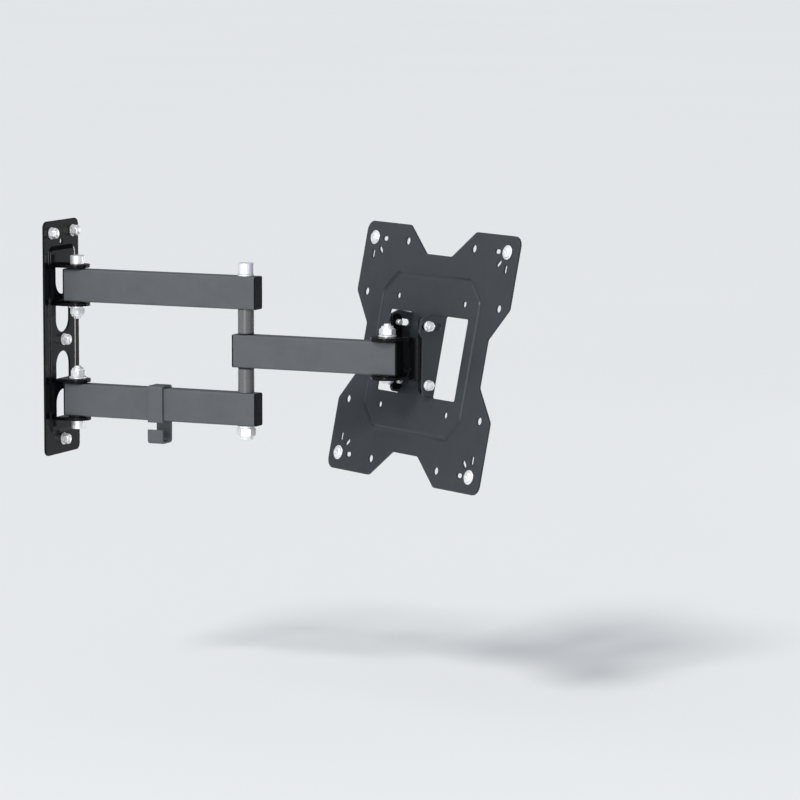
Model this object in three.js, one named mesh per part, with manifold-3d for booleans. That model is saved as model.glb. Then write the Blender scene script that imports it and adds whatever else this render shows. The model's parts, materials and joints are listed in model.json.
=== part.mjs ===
// Full motion television wall mount: two parallel rear arms, one front arm between them,
// a swivelling head bracket and a tilting plate with the 200 x 200 hole pattern.
// Units are millimetres. The wall is the plane y = 0, and the arms reach out along -y.
// z = 0 is the middle plane of the arms, and x = 0 is the plane that holds the three upright axes.

import * as THREE from "three";
import { mergeVertices } from "three/addons/utils/BufferGeometryUtils.js";
import Module from "manifold-3d";

const wasm = await Module();
wasm.setup();

// ---------- driving dimensions ----------

const GAP = 0.2; // air left between two pieces that touch on the real object
const NUT_TURN = 24; // degrees, how far the elbow and swivel nuts are turned about their bolts

const SHOULDER = 18.5; // wall to shoulder axis
const REAR_SPAN = 173.5; // shoulder axis to elbow axis
const FRONT_SPAN = 140.5; // elbow axis to swivel axis
const SWIVEL = 60; // degrees, head turned from straight ahead, at rest
const TILT = 12; // degrees, plate leaning so that the screen looks down, at rest

const TUBE = { width: 15, height: 30, wall: 1.5, corner: 1.8 };
const REAR_LEVEL = 53; // middle of a rear arm above or below z = 0
const REAR_END = { wall: 11.5, elbow: 12.8 }; // tube beyond its pivots
const FRONT_END = { elbow: 11, head: 12 };

const PLATE = { width: 64.4, top: 112.5, bottom: -104, thick: 2.2, corner: 6 };
const PANEL = { half: 23.6, top: 87.2, bottom: -82.4, rise: 1, slope: 4.4, corner: 6 };
const LUG = { width: 24, thick: 3, bore: 4.3, slit: 1, window: 25 };
const LUG_CLEAR = 1.2; // tube to lug, room for a nylon washer
const SMALL_HOLE = { z: 92.9, radius: 2.7 };
const LAG_SPOTS = [
  { name: "top_left", x: 20, z: 101.5 },
  { name: "top_right", x: -20, z: 101.5 },
  { name: "middle", x: 0, z: 2 },
  { name: "bottom", x: 0, z: -90.6 },
];

const M8 = { shank: 4, bore: 4.3, head: 6.5, headHeight: 8, flats: 13, nut: 8, key: 6 };
const M10 = { shank: 5, bore: 5.3, head: 7.2, headHeight: 9.8, flats: 15, nut: 11, key: 8 };
const M6 = { shank: 3, flats: 8.6, headHeight: 5, washer: 5.5 };
const M5 = { shank: 2.5, flats: 8, headHeight: 4.6 };
const TILT_FLANGE = 4.9;
const BUSH = { radius: 6, hole: 6.3 };
const NYLON = { radius: 7.4, thick: 0.8 };
const STEEL = { radius: 8, thick: 1.6 };
const SPACER_RADIUS = 7.45;

const BRACKET = {
  near: 16, // swivel axis to the web's near face
  web: 3.5, // web thickness
  half: 22.5, // half width over the wings
  wing: 3, // wing thickness
  wingStart: 19.4, // swivel axis to the wings' near edge
  wingEnd: 30.4, // swivel axis to the wings' free edge
  wingLow: -31.5, // lower end of a wing
  wingTop: 37, // upper end of a wing
  tab: 3, // tab thickness
  tabHalf: 15, // half width of a tab
  tabLevel: 16, // z of a tab's inner face
  bend: 5, // outer bend radius
};
const TILT_AXIS = { out: 26.2, z: -23.8 }; // lower tilt bolts, in the head's frame
const TILT_BOLT_SPACING = 53;

const VESA = {
  half: 115, // half width and half height of the outline
  thick: 2.5,
  back: 5.9, // tilt axis to the back face
  centre: 26.4, // tilt axis to the plate's centre, along the plate
  corner: 9,
  edge: 50, // straight part of a side ends here
  notchSide: { along: 21.5, depth: 91.5 },
  notchTop: { along: 19.5, depth: 90.5 },
  window: { inner: 25.4, outer: 59.5, half: 37 },
};
const EAR = { thick: 2.5, tall: 25, low: 11.8, slot: 2.9 };
const EAR_SLOT = { from: -1, to: 16 }; // degrees about the lower tilt bolts
const GROOVE = { width: 5, depth: 1.4, side: 73, top: 71, chamfer: 18 };
const VESA_HOLES = [
  { x: 50, z: 50, radius: 2.8 },
  { x: 100, z: 50, radius: 3.5 },
  { x: 50, z: 100, radius: 3.5 },
  { x: 100, z: 100, radius: 3.6 },
];
const RAY_SLOT = { reach: 15, length: 8, width: 4 };

const CLIP = { along: 85, width: 15.3, thick: 2.2, drop: 21, lip: 13 };

// ---------- materials ----------

const paint = (color, roughness, metalness) =>
  new THREE.MeshStandardMaterial({ color, roughness, metalness });

const MATERIAL = {
  arm: paint(0x3c3f43, 0.45, 0.2),
  plate: paint(0x34373c, 0.5, 0.2),
  wall: paint(0x17191c, 0.3, 0.3),
  zinc: paint(0xd9dadc, 0.3, 0.9),
  spacer: paint(0x4a4d50, 0.35, 0.4),
  nylon: paint(0x202224, 0.6, 0),
  cap: paint(0x16181a, 0.55, 0),
};

// ---------- solids ----------

// A three.js geometry as a manifold solid.
function solid(geometry) {
  const bare = geometry.index ? geometry.toNonIndexed() : geometry;
  bare.deleteAttribute("normal");
  bare.deleteAttribute("uv");
  const merged = mergeVertices(bare, 1e-4);
  return new wasm.Manifold(
    new wasm.Mesh({
      numProp: 3,
      vertProperties: merged.attributes.position.array,
      triVerts: new Uint32Array(merged.index.array),
    }),
  );
}

// A manifold solid as a named mesh in a group.
function piece(group, name, made, material) {
  const { vertProperties, triVerts } = made.getMesh();
  const geometry = new THREE.BufferGeometry()
    .setAttribute("position", new THREE.BufferAttribute(vertProperties, 3))
    .setIndex(new THREE.BufferAttribute(triVerts, 1));
  geometry.computeVertexNormals();
  const mesh = new THREE.Mesh(geometry, material);
  mesh.name = name;
  group.add(mesh);
  return mesh;
}

const box = (x0, x1, y0, y1, z0, z1) =>
  solid(
    new THREE.BoxGeometry(x1 - x0, y1 - y0, z1 - z0).translate(
      (x0 + x1) / 2,
      (y0 + y1) / 2,
      (z0 + z1) / 2,
    ),
  );

// A solid of revolution about z, from [radius, z] points that close on the axis or on themselves.
function turned(points, segments = 16) {
  const profile = points.map(([r, z]) => new THREE.Vector2(r, z));
  return solid(new THREE.LatheGeometry(profile, segments).rotateX(Math.PI / 2));
}

const rod = (radius, z0, z1, segments = 16) =>
  turned(
    [
      [0, z0],
      [radius, z0],
      [radius, z1],
      [0, z1],
    ],
    segments,
  );

const ring = (outer, inner, z0, z1, segments = 16) =>
  rod(outer, z0, z1, segments).subtract(rod(inner, z0 - 1, z1 + 1, segments));

// A hexagonal prism about z, given over its flats.
const hexagon = (flats, z0, z1) => rod(flats / Math.sqrt(3), z0, z1, 6);

// A rod along x.
const crossRod = (radius, x0, x1, y, z, segments = 16) =>
  rod(radius, x0, x1, segments).rotate([0, 90, 0]).translate([0, y, z]);

// A shape drawn in x and z, as a plate that reaches from y0 to y1.
function platePiece(shape, y0, y1, options = {}) {
  const geometry = new THREE.ExtrudeGeometry(shape, {
    depth: y1 - y0,
    bevelEnabled: false,
    curveSegments: 5,
    ...options,
  });
  return solid(geometry.rotateX(Math.PI / 2).translate(0, y1, 0));
}

// A shape drawn in x and y, as a slab that reaches from z0 to z1.
function slab(shape, z0, z1) {
  const geometry = new THREE.ExtrudeGeometry(shape, {
    depth: z1 - z0,
    bevelEnabled: false,
    curveSegments: 5,
  });
  return solid(geometry.translate(0, 0, z0));
}

// A shape drawn in y and z, as a slab that reaches from x0 to x1.
function sideways(shape, x0, x1) {
  const geometry = new THREE.ExtrudeGeometry(shape, {
    depth: x1 - x0,
    bevelEnabled: false,
    curveSegments: 5,
  });
  const turn = new THREE.Matrix4().makeBasis(
    new THREE.Vector3(0, 1, 0),
    new THREE.Vector3(0, 0, 1),
    new THREE.Vector3(1, 0, 0),
  );
  return solid(geometry.applyMatrix4(turn).translate(x0, 0, 0));
}

// Points along an arc, with a step of about 26 degrees.
function arc(x, y, radius, from, to, clockwise) {
  const curve = new THREE.EllipseCurve(x, y, radius, radius, from, to, clockwise);
  const steps = Math.max(2, Math.round(curve.getLength() / radius / 0.45));
  return curve.getPoints(steps);
}

// A closed outline through corner points, each rounded by its own radius.
function roundedOutline(points) {
  const at = (i) => points[(i + points.length) % points.length];
  const outline = points.flatMap(([x, y, radius], i) => {
    const here = new THREE.Vector2(x, y);
    if (!radius) return [here];
    const before = new THREE.Vector2(...at(i - 1)).sub(here).normalize();
    const after = new THREE.Vector2(...at(i + 1)).sub(here).normalize();
    const half = before.angleTo(after) / 2;
    const reach = radius / Math.tan(half);
    const start = here.clone().addScaledVector(before, reach);
    const end = here.clone().addScaledVector(after, reach);
    const inward = before.clone().add(after).normalize();
    const centre = here.clone().addScaledVector(inward, radius / Math.sin(half));
    const from = Math.atan2(start.y - centre.y, start.x - centre.x);
    const to = Math.atan2(end.y - centre.y, end.x - centre.x);
    return arc(centre.x, centre.y, radius, from, to, before.cross(after) > 0);
  });
  return new THREE.Shape(outline);
}

function rectangle(x0, x1, y0, y1, radius) {
  return roundedOutline([
    [x0, y0, radius],
    [x1, y0, radius],
    [x1, y1, radius],
    [x0, y1, radius],
  ]);
}

const roundHole = (x, y, radius) => new THREE.Path(arc(x, y, radius, 0, 2 * Math.PI, true));

// ---------- fasteners, all about z ----------

const washer = (radius, bore, z0, thick) => ring(radius, bore, z0, z0 + thick);

// A socket cap bolt: head from z = 0 up, shank down to -length.
function capBolt({ shank, head, headHeight, key }, length) {
  const edge = 0.7;
  const body = turned([
    [0, -length],
    [shank - edge, -length],
    [shank, -length + edge],
    [shank, 0],
    [head, 0],
    [head, headHeight - edge],
    [head - edge, headHeight],
    [0, headHeight],
  ]);
  return body.subtract(hexagon(key, headHeight / 2, headHeight + 1));
}

// A low round head from z = 0 down, with its shank up to length.
function buttonBolt(length) {
  const [radius, height] = [M8.head, 4];
  const body = turned([
    [0, -height],
    [radius * 0.55, -height],
    [radius * 0.88, -height * 0.66],
    [radius, -height * 0.2],
    [radius, 0],
    [M8.shank, 0],
    [M8.shank, length],
    [0, length],
  ]);
  return body.subtract(hexagon(M8.key - 1, -height - 1, -height / 2));
}

// A locking nut with its seat at z = 0 and its round collar on top.
function lockNut({ flats, nut: height, bore }) {
  const corner = flats / Math.sqrt(3);
  const hexHeight = height * 0.72;
  const envelope = turned([
    [0, 0],
    [flats / 2, 0],
    [corner, 0.8],
    [corner, hexHeight - 0.9],
    [flats / 2, hexHeight],
    [flats * 0.44, hexHeight + 0.2],
    [flats * 0.42, height - 0.7],
    [flats * 0.34, height],
    [0, height],
  ]);
  const block = hexagon(flats, -1, height + 1);
  return envelope.intersect(block).subtract(rod(bore, -1, height + 1));
}

// A hexagon head from z = 0 up, with its shank down to -length, and a flange if it has a radius.
function hexBolt(size, length, flange = 0) {
  const corner = size.flats / Math.sqrt(3);
  const envelope = turned([
    [0, 0],
    [corner, 0],
    [corner, size.headHeight - 0.8],
    [size.flats / 2 - 0.3, size.headHeight],
    [0, size.headHeight],
  ]);
  const head = envelope.intersect(hexagon(size.flats, -1, size.headHeight + 1));
  const bolt = head.add(rod(size.shank, -length, 0.5));
  if (!flange) return bolt;
  const skirt = turned([
    [0, 0],
    [flange, 0],
    [flange, 0.7],
    [size.flats / 2, 1.5],
    [0, 1.5],
  ]);
  return bolt.add(skirt);
}

// ---------- wall plate ----------

const LUG_LEVELS = [1, -1].flatMap((side) =>
  [1, -1].map((face) => {
    const offset = TUBE.height / 2 + LUG_CLEAR + LUG.thick / 2;
    return { side, face, z: side * REAR_LEVEL + face * offset };
  }),
);

// The window that a lug was bent out of: it hangs towards the middle of the plate.
function lugWindow({ side, z }) {
  const half = LUG.width / 2 + LUG.slit;
  const start = z - side * (LUG.thick / 2);
  const end = start - side * LUG.window;
  const [low, high] = side > 0 ? [end, start] : [start, end];
  const round = half - 0.5;
  const corners = [
    [-half, low, side > 0 ? round : 0],
    [half, low, side > 0 ? round : 0],
    [half, high, side > 0 ? 0 : round],
    [-half, high, side > 0 ? 0 : round],
  ];
  return platePiece(roundedOutline(corners), -20, 10);
}

function lug({ z }) {
  const half = LUG.width / 2;
  const shape = new THREE.Shape();
  shape.moveTo(-half, -PLATE.thick);
  shape.lineTo(-half, -SHOULDER);
  shape.absarc(0, -SHOULDER, half, Math.PI, 2 * Math.PI, false);
  shape.lineTo(half, -PLATE.thick);
  shape.closePath();
  const [z0, z1] = [z - LUG.thick / 2, z + LUG.thick / 2];
  const bore = rod(LUG.bore, z0 - 1, z1 + 1).translate([0, -SHOULDER, 0]);
  return slab(shape, z0, z1).subtract(bore);
}

function wallPlate() {
  const half = PLATE.width / 2;
  const outline = rectangle(-half, half, PLATE.bottom, PLATE.top, PLATE.corner);
  let made = platePiece(outline, -PLATE.thick, 0);
  // The middle panel is pressed forward: its front face stands proud, and its back is hollow.
  const front = rectangle(-PANEL.half, PANEL.half, PANEL.bottom, PANEL.top, PANEL.corner);
  const proud = platePiece(front, -PLATE.thick - 0.01, -PLATE.thick + 0.5, {
    bevelEnabled: true,
    bevelThickness: PANEL.rise,
    bevelSize: PANEL.slope,
    bevelOffset: -PANEL.slope / 2,
    bevelSegments: 1,
  });
  made = made.add(proud);
  const inner = PANEL.half - PANEL.slope;
  const hollow = rectangle(-inner, inner, PANEL.bottom + 4, PANEL.top - 4, PANEL.corner - 3);
  made = made.subtract(platePiece(hollow, -PANEL.rise, 1));
  LUG_LEVELS.forEach((level) => {
    made = made.subtract(lugWindow(level));
  });
  LUG_LEVELS.forEach((level) => {
    made = made.add(lug(level));
  });
  LAG_SPOTS.forEach(({ x, z }) => {
    made = made.subtract(wallBore(M6.shank + 0.4, x, z));
  });
  return made.subtract(wallBore(SMALL_HOLE.radius, 0, SMALL_HOLE.z));
}

const wallBore = (radius, x, z) => rod(radius, -10, 10).rotate([90, 0, 0]).translate([x, 0, z]);

function buildWall(group) {
  piece(group, "wall_plate", wallPlate(), MATERIAL.wall);
  LAG_SPOTS.forEach(({ name, x, z }) => {
    const onPanel = z < PANEL.top && z > PANEL.bottom;
    const face = PLATE.thick + (onPanel ? PANEL.rise : 0) + GAP;
    const place = (made) => made.rotate([90, 0, 0]).translate([x, -face, z]);
    const disc = washer(M6.washer, M6.shank + 0.3, 0, 1.4);
    const screw = hexBolt(M6, face + 1.4).translate([0, 0, 1.4 + GAP]);
    piece(group, `lag_washer_${name}`, place(disc), MATERIAL.zinc);
    piece(group, `lag_screw_${name}`, place(screw), MATERIAL.zinc);
  });
  // Each rear arm turns on its own bolt, with the head on the outer lug and the nut on the inner one.
  [
    { name: "upper", side: 1 },
    { name: "lower", side: -1 },
  ].forEach(({ name, side }) => {
    const reach = TUBE.height / 2 + LUG_CLEAR + LUG.thick;
    const flip = side > 0 ? 0 : 180;
    const place = (made, material, label) => {
      const set = made.rotate([flip, 0, 0]).translate([0, -SHOULDER, side * REAR_LEVEL]);
      piece(group, `${name}_shoulder_${label}`, set, material);
    };
    const seat = reach + GAP;
    const end = reach + 11.8;
    place(capBolt(M8, seat + end).translate([0, 0, seat]), MATERIAL.zinc, "bolt");
    place(washer(STEEL.radius, M8.bore, -seat - STEEL.thick, STEEL.thick), MATERIAL.zinc, "washer");
    const nut = lockNut(M8).rotate([180, 0, 0]);
    place(nut.translate([0, 0, -seat - STEEL.thick - GAP]), MATERIAL.zinc, "nut");
  });
}

// ---------- arms ----------

// A rectangular tube along -y, from y0 down to y1, with upright holes at the pivots.
function armTube(y0, y1, pivots) {
  const { width, height, wall, corner } = TUBE;
  const ringShape = rectangle(-width / 2, width / 2, -height / 2, height / 2, corner);
  const inside = rectangle(
    wall - width / 2,
    width / 2 - wall,
    wall - height / 2,
    height / 2 - wall,
    corner - 1,
  );
  let made = platePiece(ringShape, y1, y0).subtract(platePiece(inside, y1 - 1, y0 + 1));
  pivots.forEach((y) => {
    made = made.subtract(rod(BUSH.hole, -height, height).translate([0, y, 0]));
  });
  return made;
}

// A plastic cap that closes a tube's end. It faces +y, with its rim outside the tube's edge.
function endCap() {
  const { width, height, wall, corner } = TUBE;
  const rim = rectangle(-width / 2, width / 2, -height / 2, height / 2, corner);
  const plugX = width / 2 - wall - GAP;
  const plugZ = height / 2 - wall - GAP;
  const plug = rectangle(-plugX, plugX, -plugZ, plugZ, corner - 1);
  return platePiece(rim, GAP, 1.2 + GAP).add(platePiece(plug, -2.5, GAP + 0.1));
}

const bush = (bore) => ring(BUSH.radius, bore, -TUBE.height / 2, TUBE.height / 2);

const CAP_THICK = 1.2 + GAP;

// A tube with its two bushes and two caps. Ends are the tube's total overhang past each pivot.
function buildArm(group, name, level, ends) {
  const [first, last] = ends;
  const { span } = group.userData;
  const [start, end] = [first.over - CAP_THICK, -span - last.over + CAP_THICK];
  const lift = (made) => made.translate([0, 0, level]);
  piece(group, `${name}_tube`, lift(armTube(start, end, [0, -span])), MATERIAL.arm);
  const nearCap = endCap().translate([0, start, 0]);
  const farCap = endCap().rotate([0, 0, 180]).translate([0, end, 0]);
  piece(group, `${name}_${first.label}_cap`, lift(nearCap), MATERIAL.cap);
  piece(group, `${name}_${last.label}_cap`, lift(farCap), MATERIAL.cap);
  const farBush = bush(last.bore).translate([0, -span, 0]);
  piece(group, `${name}_${first.label}_bush`, lift(bush(first.bore)), MATERIAL.nylon);
  piece(group, `${name}_${last.label}_bush`, lift(farBush), MATERIAL.nylon);
}

// A strip that wraps the tube's near side, top and far side, then drops into an open hook.
function cableClip() {
  const inX = TUBE.width / 2 + GAP;
  const outX = inX + CLIP.thick;
  const top = TUBE.height / 2 + GAP;
  const foot = -TUBE.height / 2 - CLIP.drop;
  const y0 = -CLIP.width / 2;
  const y1 = CLIP.width / 2;
  const nearWall = box(-outX, -inX, y0, y1, -TUBE.height / 2 - 1.5, top + CLIP.thick);
  const roof = box(-outX, outX, y0, y1, top, top + CLIP.thick);
  const farWall = box(inX, outX, y0, y1, foot, top + CLIP.thick);
  const floor = box(-outX, outX, y0, y1, foot, foot + CLIP.thick);
  const lip = box(-outX, -inX, y0, y1, foot, foot + CLIP.lip);
  return nearWall.add(roof).add(farWall).add(floor).add(lip);
}

function buildRearArms(group) {
  const ends = [
    { label: "shoulder", over: REAR_END.wall, bore: M8.bore },
    { label: "elbow", over: REAR_END.elbow, bore: M10.bore },
  ];
  buildArm(group, "upper_arm", REAR_LEVEL, ends);
  buildArm(group, "lower_arm", -REAR_LEVEL, ends);
  const clip = cableClip().translate([0, -CLIP.along, -REAR_LEVEL]);
  piece(group, "cable_clip", clip, MATERIAL.arm);

  // Nylon washers between the tubes and the wall plate's lugs.
  [
    { name: "upper_arm_top_washer", z: REAR_LEVEL + TUBE.height / 2 + GAP },
    { name: "lower_arm_top_washer", z: -REAR_LEVEL + TUBE.height / 2 + GAP },
    { name: "upper_arm_lower_washer", z: REAR_LEVEL - TUBE.height / 2 - GAP - NYLON.thick },
    { name: "lower_arm_lower_washer", z: -REAR_LEVEL - TUBE.height / 2 - GAP - NYLON.thick },
  ].forEach(({ name, z }) => {
    piece(group, name, washer(NYLON.radius, M8.bore, z, NYLON.thick), MATERIAL.nylon);
  });

  // The elbow bolt runs down through both rear arms and the front arm.
  const atElbow = (name, made, material) =>
    piece(group, name, made.translate([0, -REAR_SPAN, 0]), material);
  const outer = REAR_LEVEL + TUBE.height / 2 + GAP;
  const seat = outer + STEEL.thick + GAP;
  const below = seat + M10.nut;
  const { bore } = M10;
  const elbowWasher = (z) => washer(STEEL.radius - 0.3, bore, z, STEEL.thick);
  atElbow("elbow_bolt_washer", elbowWasher(outer), MATERIAL.zinc);
  atElbow("elbow_bolt", capBolt(M10, seat + below).translate([0, 0, seat]), MATERIAL.zinc);
  atElbow("elbow_nut_washer", elbowWasher(-outer - STEEL.thick), MATERIAL.zinc);
  const nut = lockNut(M10).rotate([180, 0, NUT_TURN]).translate([0, 0, -seat]);
  atElbow("elbow_nut", nut, MATERIAL.zinc);

  // Spacers hold the front arm midway between the rear ones.
  const inner = REAR_LEVEL - TUBE.height / 2 - GAP;
  const bottom = TUBE.height / 2 + NYLON.thick + 2 * GAP;
  atElbow("upper_elbow_spacer", ring(SPACER_RADIUS, bore, bottom, inner), MATERIAL.spacer);
  atElbow("lower_elbow_spacer", ring(SPACER_RADIUS, bore, -inner, -bottom), MATERIAL.spacer);
}

function buildFrontArm(group) {
  const ends = [
    { label: "elbow", over: FRONT_END.elbow, bore: M10.bore },
    { label: "head", over: FRONT_END.head, bore: M8.bore },
  ];
  buildArm(group, "front_arm", 0, ends);
  const level = TUBE.height / 2 + GAP;
  const upper = washer(NYLON.radius, M10.bore, level, NYLON.thick);
  const lower = washer(NYLON.radius, M10.bore, -level - NYLON.thick, NYLON.thick);
  piece(group, "elbow_top_washer", upper, MATERIAL.nylon);
  piece(group, "elbow_lower_washer", lower, MATERIAL.nylon);
}

// ---------- swivel head ----------

// A tab that carries the swivel bolt: straight sides and a round end about the axis.
function bracketTab(z0, z1) {
  const { tabHalf, near, web } = BRACKET;
  const shape = new THREE.Shape();
  shape.moveTo(-tabHalf, -near - web);
  shape.lineTo(tabHalf, -near - web);
  shape.lineTo(tabHalf, 0);
  shape.absarc(0, 0, tabHalf, 0, Math.PI, false);
  shape.closePath();
  return slab(shape, z0, z1).subtract(rod(M8.bore, z0 - 1, z1 + 1));
}

// One stamped bracket: a web, a tab above and below the front arm, and two wings beside the ears.
function swivelBracket() {
  const { near, web, half, wing, wingStart, wingEnd, wingLow, wingTop, bend } = BRACKET;
  const { tab, tabHalf, tabLevel } = BRACKET;
  const high = tabLevel + tab;
  // Web and wings together are a channel, drawn in plan.
  const channel = roundedOutline([
    [-half, -near, bend],
    [-half, -wingEnd, 0],
    [-half + wing, -wingEnd, 0],
    [-half + wing, -near - web, 0.8],
    [half - wing, -near - web, 0.8],
    [half - wing, -wingEnd, 0],
    [half, -wingEnd, 0],
    [half, -near, bend],
  ]);
  let made = slab(channel, -high, high);
  const straight = near + bend;
  const wingShape = roundedOutline([
    [-wingEnd, wingLow, 5.5],
    [-wingStart, wingLow, 3],
    [-wingStart, -high, 0],
    [-straight, -high, 0],
    [-straight, high, 0],
    [-wingStart, high, 0],
    [-wingStart, wingTop, 3],
    [-wingEnd, wingTop, 5.5],
  ]);
  [-half, half - wing].forEach((x) => {
    made = made.add(sideways(wingShape, x, x + wing));
  });
  made = made.add(bracketTab(tabLevel, high)).add(bracketTab(-high, -tabLevel));
  // Two small gussets stiffen the lower tab, which carries the load.
  [-tabHalf, tabHalf - 2].forEach((x) => {
    const rib = new THREE.Shape();
    rib.moveTo(-near - 1, -tabLevel - 0.5);
    rib.lineTo(-near - 1, -tabLevel + 7);
    rib.lineTo(-near, -tabLevel + 7);
    rib.lineTo(-10, -tabLevel);
    rib.lineTo(-10, -tabLevel - 0.5);
    rib.closePath();
    made = made.add(sideways(rib, x, x + 2));
  });
  const bolts = [0, TILT_BOLT_SPACING].map((step) =>
    crossRod(M5.shank + GAP, -half - 1, half + 1, -TILT_AXIS.out, TILT_AXIS.z + step),
  );
  bolts.forEach((bolt) => {
    made = made.subtract(bolt);
  });
  return made;
}

function buildHead(group) {
  const { tab, tabLevel, half } = BRACKET;
  piece(group, "swivel_bracket", swivelBracket(), MATERIAL.wall);

  // The swivel bolt has its low head under the lower tab and its nut above the upper one.
  const outer = tabLevel + tab + GAP;
  const seat = outer + STEEL.thick + GAP;
  const end = seat + 9.8;
  const bolt = buttonBolt(outer + end).translate([0, 0, -outer]);
  piece(group, "swivel_bolt", bolt, MATERIAL.zinc);
  const nutWasher = washer(STEEL.radius, M8.bore, outer, STEEL.thick);
  piece(group, "swivel_nut_washer", nutWasher, MATERIAL.zinc);
  const nut = lockNut(M8).rotate([0, 0, NUT_TURN]).translate([0, 0, seat]);
  piece(group, "swivel_nut", nut, MATERIAL.zinc);
  const level = TUBE.height / 2 + GAP;
  const thick = tabLevel - TUBE.height / 2 - 2 * GAP;
  piece(group, "swivel_top_washer", washer(NYLON.radius, M8.bore, level, thick), MATERIAL.nylon);
  const lower = washer(NYLON.radius, M8.bore, -level - thick, thick);
  piece(group, "swivel_lower_washer", lower, MATERIAL.nylon);

  // Tilt bolts: the lower pair is the hinge, and the upper pair clamps the ears' curved slots.
  const ear = half + EAR_GAP + EAR.thick + GAP;
  const inside = half - BRACKET.wing - 3.5;
  [
    { row: "lower", z: TILT_AXIS.z },
    { row: "upper", z: TILT_AXIS.z + TILT_BOLT_SPACING },
  ].forEach(({ row, z }) => {
    [
      { hand: "left", turn: -90 },
      { hand: "right", turn: 90 },
    ].forEach(({ hand, turn }) => {
      const place = (made) => made.rotate([0, turn, 0]).translate([0, -TILT_AXIS.out, z]);
      const screw = place(hexBolt(M5, ear - inside, TILT_FLANGE).translate([0, 0, ear]));
      piece(group, `tilt_bolt_${row}_${hand}`, screw, MATERIAL.zinc);
    });
  });
}

// ---------- tilting plate, in a frame whose x axis is the tilt axis ----------

const EAR_GAP = 0.4; // wing to ear
const BACK = -VESA.back;
const FRONT = BACK - VESA.thick;

// The four quarters of a point or a hole.
const QUARTERS = [
  [1, 1],
  [-1, 1],
  [-1, -1],
  [1, -1],
];

// Outline: square corners drawn in by a notch in the middle of every side.
function vesaOutline() {
  const { half, corner, edge, notchSide, notchTop } = VESA;
  const quarter = [
    [notchTop.along, notchTop.depth, 5],
    [edge, half, 6],
    [half, half, corner],
    [half, edge, 6],
    [notchSide.depth, notchSide.along, 5],
  ];
  const points = QUARTERS.flatMap(([sx, sz]) => {
    const placed = quarter.map(([x, z, radius]) => [sx * x, sz * z, radius]);
    return sx * sz > 0 ? placed.reverse() : placed;
  });
  return roundedOutline(points);
}

// A short slot beside a corner hole, pointing away from the corner by a turn in degrees.
function raySlot(sx, sz, turn) {
  const angle = THREE.MathUtils.degToRad(turn);
  const corner = VESA_HOLES[3];
  const [dx, dz] = [-sx * Math.cos(angle), -sz * Math.sin(angle)];
  const x = sx * corner.x + RAY_SLOT.reach * dx;
  const z = sz * corner.z + RAY_SLOT.reach * dz;
  const [half, reach] = [RAY_SLOT.width / 2, RAY_SLOT.length / 2 - RAY_SLOT.width / 2];
  const heading = Math.atan2(dz, dx);
  const quarter = Math.PI / 2;
  return new THREE.Path([
    ...arc(x + reach * dx, z + reach * dz, half, heading + quarter, heading - quarter, true),
    ...arc(x - reach * dx, z - reach * dz, half, heading - quarter, heading - 3 * quarter, true),
  ]);
}

// The pressed groove: an eight-sided ring around the middle of the back face.
function groove() {
  const ringOutline = (grow) => {
    const [side, top] = [GROOVE.side + grow, GROOVE.top + grow];
    const cut = GROOVE.chamfer + grow * 0.6;
    const quarter = [
      [side - cut, top, 4],
      [side, top - cut, 4],
    ];
    const points = QUARTERS.flatMap(([sx, sz]) => {
      const placed = quarter.map(([x, z, radius]) => [sx * x, sz * z, radius]);
      return sx * sz > 0 ? placed.reverse() : placed;
    });
    return roundedOutline(points);
  };
  const outer = platePiece(ringOutline(GROOVE.width / 2), BACK - GROOVE.depth, BACK + 1);
  const inner = platePiece(ringOutline(-GROOVE.width / 2), BACK - GROOVE.depth - 1, BACK + 2);
  return outer.subtract(inner);
}

// An ear in y and z: wide at the top for the curved slot, narrow at the hinge below.
function earShape() {
  const { centre, window } = VESA;
  const out = (reach) => BACK + reach;
  return roundedOutline([
    [BACK - 1, centre + window.half - 0.5, 0],
    [BACK - 1, centre - window.half + 0.5, 0],
    [out(EAR.low - 3), centre - window.half + 0.5, 4],
    [out(EAR.low), centre - window.half + 8, 3],
    [out(EAR.low + 8), centre + 13, 4],
    [out(EAR.tall), centre + 18, 4],
    [out(EAR.tall), centre + 31, 5],
    [out(EAR.tall - 9), centre + window.half - 0.5, 5],
  ]);
}

// The cutter for the slot that the upper tilt bolts ride in, curved about the tilt axis.
function earSlot() {
  const angles = [EAR_SLOT.from, EAR_SLOT.to].map(THREE.MathUtils.degToRad);
  const [low, high] = angles.map((angle) => Math.PI / 2 - angle);
  const [inner, outer] = [TILT_BOLT_SPACING - EAR.slot, TILT_BOLT_SPACING + EAR.slot];
  const at = (angle) => [TILT_BOLT_SPACING * Math.cos(angle), TILT_BOLT_SPACING * Math.sin(angle)];
  const shape = new THREE.Shape();
  shape.absarc(0, 0, outer, high, low, false);
  shape.absarc(...at(low), EAR.slot, low, low + Math.PI, false);
  shape.absarc(0, 0, inner, low, high, true);
  shape.absarc(...at(high), EAR.slot, high + Math.PI, high + 2 * Math.PI, false);
  shape.closePath();
  return shape;
}

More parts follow.
